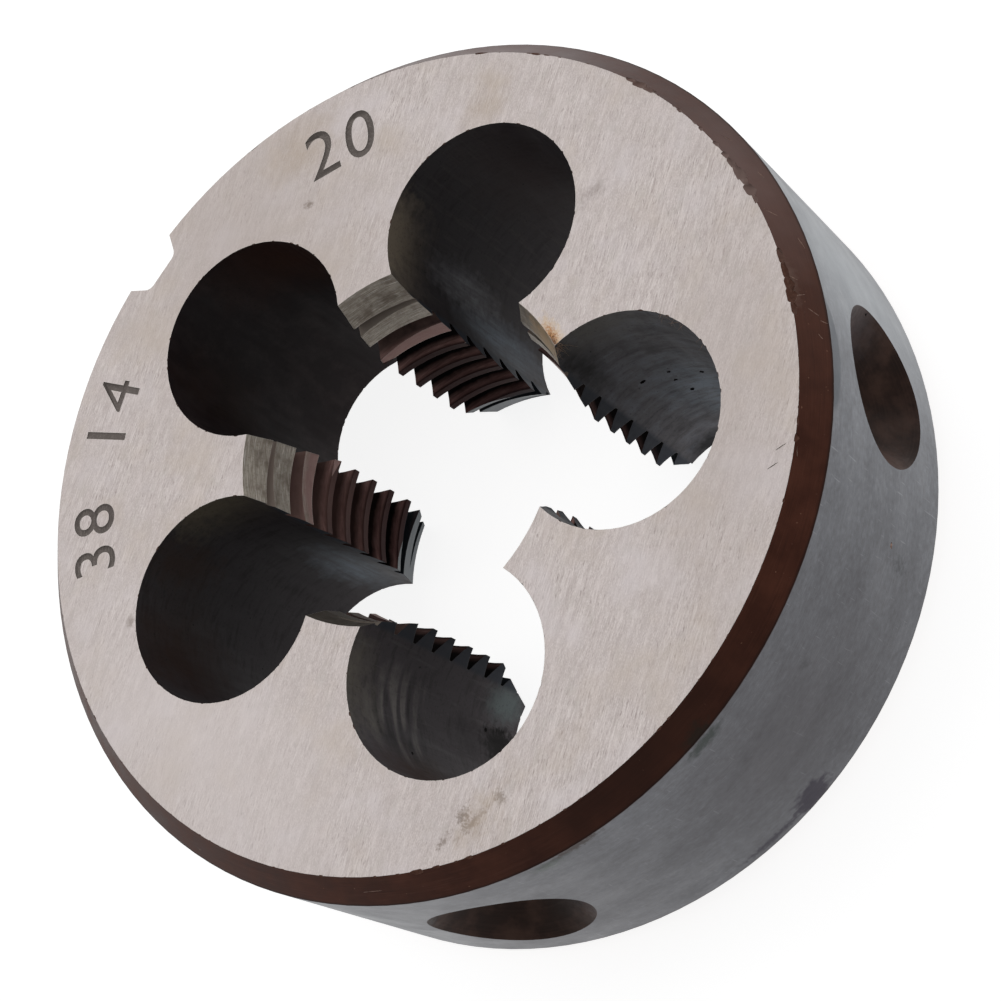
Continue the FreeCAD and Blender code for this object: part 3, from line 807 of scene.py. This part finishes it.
# Scratches on the front chamfer: direction, share of the way up it, length, twist
CHAMFER_SCRATCHES = [
    (30.7, 0.5, 0.30 * MM, 35.0),
    (23.4, 0.35, 0.25 * MM, 20.0),
    (17.0, 0.7, 0.30 * MM, 50.0),
    (12.2, 0.2, 0.35 * MM, 15.0),
    (7.1, 0.8, 0.30 * MM, 60.0),
    (4.6, 0.75, 0.35 * MM, 100.0),
    (2.4, 0.4, 0.32 * MM, 55.0),
    (1.2, 0.15, 0.22 * MM, 70.0),
    (359.2, 0.3, 0.18 * MM, 40.0),
    (344.0, 0.9, 0.25 * MM, 10.0),
    (262.0, 0.5, 0.60 * MM, 4.0),
]
SCRATCH_WIDTH = 0.02 * MM

# Scratches on the front face, side by side: direction and radius
FACE_SCRATCHES = [(344.5, 17.5 * MM), (342.0, 17.3 * MM)]
FACE_SCRATCH_LENGTH = 0.3 * MM
FACE_SCRATCH_DIRECTION = 20.0


def add_scratches(cutters, dice):
    """Fine scratches across the front chamfer, and some on the face beside it."""
    for direction, share, length, twist in CHAMFER_SCRATCHES:
        radius = RIM_RADIUS - share * CHAMFER_WIDTH
        place = around(radius, direction, TOP - CHAMFER_HEIGHT * (1.0 - share))
        size = (SCRATCH_WIDTH, length, SCRATCH_WIDTH)
        add_pebble(cutters, place, size, facing(direction, CHAMFER_LEAN, twist), "scratch", dice, 0.12)
    for direction, radius in FACE_SCRATCHES:
        size = (FACE_SCRATCH_LENGTH, SCRATCH_WIDTH, SCRATCH_WIDTH)
        turn = facing(FACE_SCRATCH_DIRECTION)
        add_pebble(cutters, around(radius, direction, TOP), size, turn, "chip", dice, 0.12)


# Pits in the walls that show: place in millimetres and radius
PITS = [
    ((8.66, 2.78, 7.8), 0.16 * MM),
    ((9.82, 2.99, 7.6), 0.11 * MM),
    ((9.72, 2.99, 6.7), 0.10 * MM),
    ((9.88, 3.00, 5.4), 0.12 * MM),
    ((11.04, 2.90, 6.9), 0.12 * MM),
    ((-2.66, -11.81, 9.6), 0.11 * MM),
    ((-2.91, -9.16, 2.7), 0.12 * MM),
    ((18.57, 3.31, 6.9), 0.08 * MM),
]

# Dent in the rim
DENT_DIRECTION = 340.3
DENT_HEIGHT = 5.66 * MM
DENT_SIZE = (0.05 * MM, 0.18 * MM, 0.10 * MM)
DENT_TWIST = 40.0


def add_pits(cutters, dice):
    """Pits in the hole walls and a dimple, and a dent in the rim."""
    for place, radius in PITS:
        size = (radius, radius, radius)
        add_pebble(cutters, Vector(place) * MM, size, facing(0.0), "pit", dice, 0.3)
    dent = around(RIM_RADIUS, DENT_DIRECTION, DENT_HEIGHT)
    add_pebble(cutters, dent, DENT_SIZE, facing(DENT_DIRECTION, 0.0, DENT_TWIST), "scratch", dice)


# Etched numbers on the front face: digit, its direction, radius of its foot and its height
DIGITS = [
    ("3", 184.5, 14.85 * MM, 2.25 * MM),
    ("8", 177.5, 14.85 * MM, 2.25 * MM),
    ("1", 163.0, 14.85 * MM, 2.25 * MM),
    ("4", 156.0, 14.85 * MM, 2.25 * MM),
    ("2", 101.5, 14.3 * MM, 2.4 * MM),
    ("0", 94.0, 14.3 * MM, 2.4 * MM),
]
ETCH_DEPTH = 0.035 * MM


def add_digit(cutters, digit, direction, foot, height):
    """One upright digit as a closed prism through the face, with its head towards the rim."""
    outline = bpy.data.curves.new("digit", "FONT")
    outline.body = digit
    outline.size = 1.0
    outline.extrude = ETCH_DEPTH
    outline.resolution_u = 6
    holder = bpy.data.objects.new("digit", outline)
    bpy.context.scene.collection.objects.link(holder)
    bpy.context.view_layer.update()
    depsgraph = bpy.context.evaluated_depsgraph_get()
    drawn = bpy.data.meshes.new_from_object(holder.evaluated_get(depsgraph))
    bpy.data.objects.remove(holder)
    left = min(vertex.co.x for vertex in drawn.vertices)
    right = max(vertex.co.x for vertex in drawn.vertices)
    low = min(vertex.co.y for vertex in drawn.vertices)
    high = max(vertex.co.y for vertex in drawn.vertices)
    scale = height / (high - low)
    drawn.transform(Matrix.Translation((-(left + right) / 2, -low, 0.0)))
    drawn.transform(Matrix.Diagonal((scale, scale, 1.0, 1.0)))
    drawn.transform(Matrix.Translation((0.0, foot, TOP)))
    drawn.transform(Matrix.Rotation(math.radians(direction - 90.0), 4, "Z"))
    before = set(cutters.verts)
    cutters.from_mesh(drawn)
    fresh = [vertex for vertex in cutters.verts if vertex not in before]
    bmesh.ops.remove_doubles(cutters, verts=fresh, dist=WELD)
    bpy.data.meshes.remove(drawn)
    for vertex in cutters.verts:
        if vertex not in before:
            for facet in vertex.link_faces:
                facet.material_index = NAMES.index("mark")


MARK_SEED = 11


def cut_marks(piece):
    """Takes the numbers, chips, nicks, scratches, pits and the dent out of the body."""
    dice = random.Random(MARK_SEED)
    cutters = bmesh.new()
    for digit in DIGITS:
        add_digit(cutters, *digit)
    add_chips(cutters, dice)
    add_nicks(cutters, dice)
    add_scratches(cutters, dice)
    add_pits(cutters, dice)
    mesh = bpy.data.meshes.new("cutters")
    cutters.to_mesh(mesh)
    cutters.free()
    for material in piece.data.materials:
        mesh.materials.append(material)
    tool = bpy.data.objects.new("cutters", mesh)
    bpy.context.scene.collection.objects.link(tool)
    cut = piece.modifiers.new("cut", "BOOLEAN")
    cut.operation = "DIFFERENCE"
    cut.solver = "EXACT"
    cut.object = tool
    cut.use_self = True
    cut.material_mode = "TRANSFER"
    bpy.context.view_layer.update()
    depsgraph = bpy.context.evaluated_depsgraph_get()
    result = bpy.data.meshes.new_from_object(piece.evaluated_get(depsgraph))
    piece.modifiers.remove(cut)
    piece.data = result
    bpy.data.objects.remove(tool)


# Burrs, with lengths in millimetres: direction and radius where hairs hang, and how many of them
BURRS = [
    (10.5, 12.9, 9),
    (7.5, 13.3, 6),
    (3.0, 14.0, 3),
    (17.0, 8.1, 20),
    (351.0, 14.8, 2),
]
BURR_SEED = 5
HAIR_RADIUS = 0.015
HAIR_SIDES = 5
HAIR_STEPS = 6
HAIR_TAPER = 0.8

# Limits in millimetres of a hair's first step, and of how much each step differs from the last
FIRST_STEP = ((-0.08, 0.08), (-0.05, 0.02), (-0.03, -0.10))
SWERVE = ((-0.06, 0.06), (-0.04, 0.04), (-0.05, 0.03))


def drawn_between(limits, dice):
    """A vector whose parts are drawn between their limits."""
    return Vector([dice.uniform(low, high) for low, high in limits])


def add_hair(skin, start, dice):
    """One thin crooked hair down a hole's wall, as a closed tapering tube."""
    step = drawn_between(FIRST_STEP, dice)
    centre = start.copy()
    rings = []
    for i in range(HAIR_STEPS):
        radius = HAIR_RADIUS * (1.0 - HAIR_TAPER * i / (HAIR_STEPS - 1))
        corners = [centre + around(radius, 360.0 * k / HAIR_SIDES) for k in range(HAIR_SIDES)]
        rings.append([skin.verts.new(corner * MM) for corner in corners])
        step += drawn_between(SWERVE, dice)
        centre += step
    facets = [skin.faces.new(rings[0]), skin.faces.new(reversed(rings[-1]))]
    for upper, lower in zip(rings, rings[1:]):
        for k in range(HAIR_SIDES):
            after = (k + 1) % HAIR_SIDES
            facets.append(skin.faces.new((upper[k], lower[k], lower[after], upper[after])))
    for facet in facets:
        facet.material_index = NAMES.index("burr")


def add_burrs(mesh):
    """Closes the slivers that the cut left, and hangs the hairs from the edges of the holes."""
    dice = random.Random(BURR_SEED)
    skin = bmesh.new()
    skin.from_mesh(mesh)
    bmesh.ops.remove_doubles(skin, verts=skin.verts, dist=FINE_WELD)
    for direction, radius, count in BURRS:
        for _ in range(count):
            start = around(radius + dice.uniform(-0.2, 0.2), direction + dice.uniform(-1.2, 1.2))
            hole = around(HOLE_CIRCLE_MM, nearest(HOLE_DIRECTIONS, start))
            start = hole + (start - hole).normalized() * HOLE_MM
            start.z = FACE_MM - dice.uniform(0.02, 0.3)
            add_hair(skin, start, dice)
    skin.to_mesh(mesh)
    skin.free()


SHARP_ANGLE = 30.0


def shade(mesh):
    """Gives each corner the exact normal of its surface, and leaves small cuts to the angle."""
    mesh.shade_smooth()
    mesh.set_sharp_from_angle(angle=math.radians(SHARP_ANGLE))
    normals = [corner.vector.copy() for corner in mesh.corner_normals]
    for facet in mesh.polygons:
        name = NAMES[facet.material_index]
        for corner in facet.loop_indices:
            point = mesh.vertices[mesh.loops[corner].vertex_index].co
            exact = true_normal(name, point, facet.normal)
            if exact is not None:
                normals[corner] = exact
    mesh.normals_split_custom_set(normals)


def make_body():
    """The die, dressed with its materials, marks and burrs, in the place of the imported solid."""
    piece = bpy.data.objects.new("dressed_die", welded_die())
    bpy.context.scene.collection.objects.link(piece)
    for make in REGIONS.values():
        piece.data.materials.append(make())
    cut_marks(piece)
    add_burrs(piece.data)
    shade(piece.data)
    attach(piece, "root")
    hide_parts(NODE)


FLOOR_SIZE = 6.0
FLOOR_GAP = 0.01 * MM
FLOOR_TONE = 0.45
FLOOR_GLOW = 0.87


def make_floor():
    """Plain pale floor under the die, lit from below like a light table."""
    floor_mesh = bpy.data.meshes.new("floor")
    half = FLOOR_SIZE / 2
    corners = [(-half, -half, 0.0), (half, -half, 0.0), (half, half, 0.0), (-half, half, 0.0)]
    floor_mesh.from_pydata(corners, [], [(0, 1, 2, 3)])
    floor = bpy.data.objects.new("floor", floor_mesh)
    floor.location.z = -FLOOR_GAP
    bpy.context.scene.collection.objects.link(floor)
    g = Graph("floor_white")
    g.shader.inputs["Base Color"].default_value = (FLOOR_TONE, FLOOR_TONE, FLOOR_TONE, 1.0)
    g.shader.inputs["Roughness"].default_value = 0.9
    g.shader.inputs["Specular IOR Level"].default_value = 0.0
    g.shader.inputs["Emission Color"].default_value = (1.0, 1.0, 1.0, 1.0)
    g.shader.inputs["Emission Strength"].default_value = FLOOR_GLOW
    floor_mesh.materials.append(g.material)


# Soft lights: name, place, size and power in watts
LIGHTS = [
    ("soft_box", (-0.26, 0.27, 0.55), 0.80, 1.62),
    ("side_fill", (0.60, 0.45, 0.22), 0.40, 0.8),
]


def add_light(name, place, size, power):
    """Soft square light that points at the die."""
    light = bpy.data.lights.new(name, "AREA")
    light.shape = "SQUARE"
    light.size = size
    light.energy = power
    lamp = bpy.data.objects.new(name, light)
    lamp.location = place
    lamp.rotation_mode = "QUATERNION"
    lamp.rotation_quaternion = Vector(place).to_track_quat("Z", "Y")
    bpy.context.scene.collection.objects.link(lamp)


# Brightness of the pale room as it lights the die, as it is reflected and as it is seen
ROOM_LIGHT = 0.25
ROOM_REFLECTED = 0.6
ROOM_SEEN = 0.95


def make_lights():
    """One large soft box behind and above, a weak one on the right, and a pale room."""
    for light in LIGHTS:
        add_light(*light)
    world = bpy.data.worlds.new("studio")
    world.use_nodes = True
    nodes = world.node_tree.nodes
    links = world.node_tree.links
    path = nodes.new("ShaderNodeLightPath")

    def room(strength):
        background = nodes.new("ShaderNodeBackground")
        background.inputs["Color"].default_value = (1.0, 1.0, 1.0, 1.0)
        background.inputs["Strength"].default_value = strength
        return background.outputs[0]

    def choose(kind, other, chosen):
        choice = nodes.new("ShaderNodeMixShader")
        links.new(path.outputs[kind], choice.inputs[0])
        links.new(other, choice.inputs[1])
        links.new(chosen, choice.inputs[2])
        return choice.outputs[0]

    lit = choose("Is Glossy Ray", room(ROOM_LIGHT), room(ROOM_REFLECTED))
    links.new(choose("Is Camera Ray", lit, room(ROOM_SEEN)), nodes["World Output"].inputs["Surface"])
    bpy.context.scene.world = world


# The camera that a fit to the rim, the holes and the lands gives, with lens and sensor in millimetres
CAMERA_PLACE = Vector((45.912, -39.680, 91.101)) * MM
CAMERA_BACK = Vector((0.43595, -0.38049, 0.81558))
CAMERA_UP = Vector((0.24074, 0.92251, 0.30170))
CAMERA_LENS = 84.458
CAMERA_SENSOR = 36.0


def make_camera():
    """The camera that looks at the front face from the lower right."""
    camera = bpy.data.cameras.new("camera")
    camera.lens = CAMERA_LENS
    camera.sensor_width = CAMERA_SENSOR
    camera.clip_start = 1.0 * MM
    camera.clip_end = 5.0
    holder = bpy.data.objects.new("camera", camera)
    right = CAMERA_UP.cross(CAMERA_BACK).normalized()
    up = CAMERA_BACK.cross(right).normalized()
    turn = Matrix((right, up, CAMERA_BACK.normalized())).transposed()
    holder.matrix_world = Matrix.Translation(CAMERA_PLACE) @ turn.to_4x4()
    bpy.context.scene.collection.objects.link(holder)
    bpy.context.scene.camera = holder


make_body()
make_floor()
make_lights()
make_camera()
bpy.context.scene.view_settings.view_transform = "Standard"
